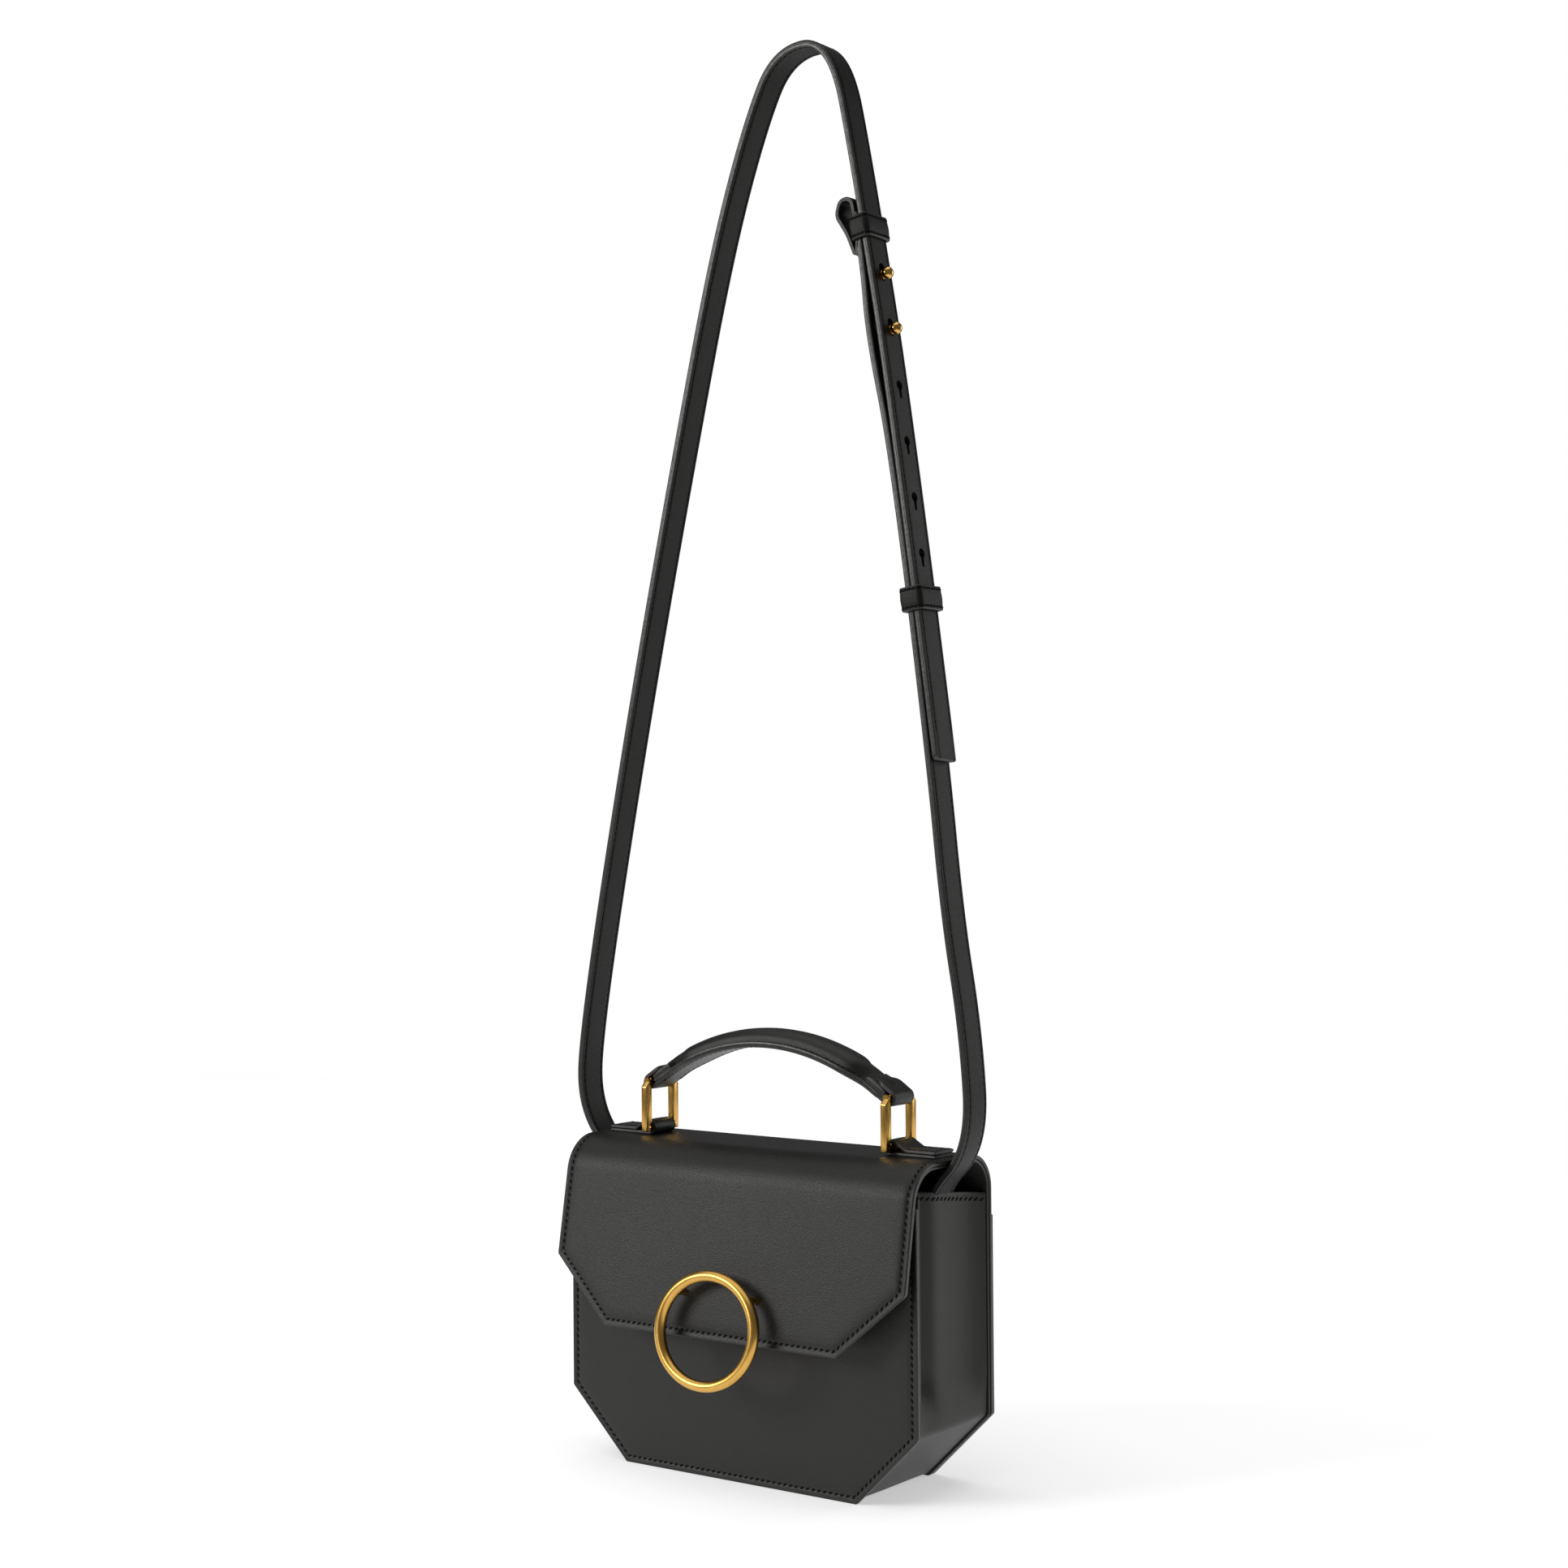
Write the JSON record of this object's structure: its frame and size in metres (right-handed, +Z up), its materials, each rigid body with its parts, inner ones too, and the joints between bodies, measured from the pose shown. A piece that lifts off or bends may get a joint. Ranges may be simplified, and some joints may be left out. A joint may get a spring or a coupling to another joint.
{
  "type": "top-handle handbag",
  "caption": "Small structured leather handbag with cut lower corners, a leaning front flap, a ring-hung top handle and an adjustable shoulder strap",
  "frame": {"origin": "on the ground under the middle of the bag, from the ornament's front to the rear pocket's back, without the shoulder strap", "axes": "+X to the viewer's right across the bag, -Y out of the front with the flap and ornament, +Z up"},
  "size_m": [0.2185, 0.0898, 0.6383],
  "materials": {
    "leather_outer": "smooth black calf, soft sheen",
    "leather_lining": "matt black lining leather",
    "gold_metal": "satin antique gold plating",
    "steel": "plain plated steel",
    "board": "covered stiffening board"
  },
  "bodies": {
    "bag": {"front_panel": "leather_outer", "front_lining": "leather_lining", "back_panel": "leather_outer", "back_lining": "leather_lining", "rear_pocket": "leather_outer", "gusset": "leather_outer", "gusset_lining": "leather_lining", "base_board": "board", "lock_housing": "steel", "lock_magnet": "steel", "lock_backplate": "steel", "anchor_ring_left": "gold_metal", "anchor_ring_right": "gold_metal", "anchor_tab_left": "leather_outer", "anchor_tab_right": "leather_outer", "strap_end_left": "leather_outer", "strap_end_right": "leather_outer", "strap_long": "leather_outer", "strap_short": "leather_outer", "strap_studs": "gold_metal", "keeper_fixed": "leather_outer", "strap_fold": "leather_outer"},
    "flap_shell": {"flap": "leather_outer", "flap_lining": "leather_lining", "striker": "steel", "ornament": "gold_metal", "ornament_screws": "steel", "tab_left": "leather_outer", "tab_right": "leather_outer"},
    "left_ring": {"ring_left": "gold_metal"},
    "right_ring": {"ring_right": "gold_metal"},
    "handle": {"handle_grip": "leather_outer", "handle_loop_left": "leather_outer", "handle_loop_right": "leather_outer"},
    "keeper": {"keeper_sliding": "leather_outer"}
  },
  "joints": [
    {"name": "flap_open", "type": "hinge", "parent": "bag", "child": "flap_shell", "pos_m": [0, 0.04333, 0.12815], "axis": [-1, 0, 0], "range_deg": [0, 135]},
    {"name": "left_ring_tilt", "type": "hinge", "parent": "flap_shell", "child": "left_ring", "pos_m": [-0.0666, 0.01334, 0.14935], "axis": [0, 1, 0], "range_deg": [-60, 60]},
    {"name": "right_ring_tilt", "type": "hinge", "parent": "flap_shell", "child": "right_ring", "pos_m": [0.0666, 0.01334, 0.14935], "axis": [0, 1, 0], "range_deg": [-60, 60]},
    {"name": "handle_swing", "type": "hinge", "parent": "left_ring", "child": "handle", "pos_m": [-0.0666, 0.01334, 0.17055], "axis": [0, 1, 0], "range_deg": [-60, 60]},
    {"name": "keeper_slide", "type": "slide", "parent": "bag", "child": "keeper", "axis": [-0.1319, 0, 0.9913], "range_m": [-0.035, 0.045]}
  ],
  "couplings": [
    {"joint": "right_ring_tilt", "follows": "left_ring_tilt", "ratio": 1},
    {"joint": "handle_swing", "follows": "left_ring_tilt", "ratio": -1}
  ]
}
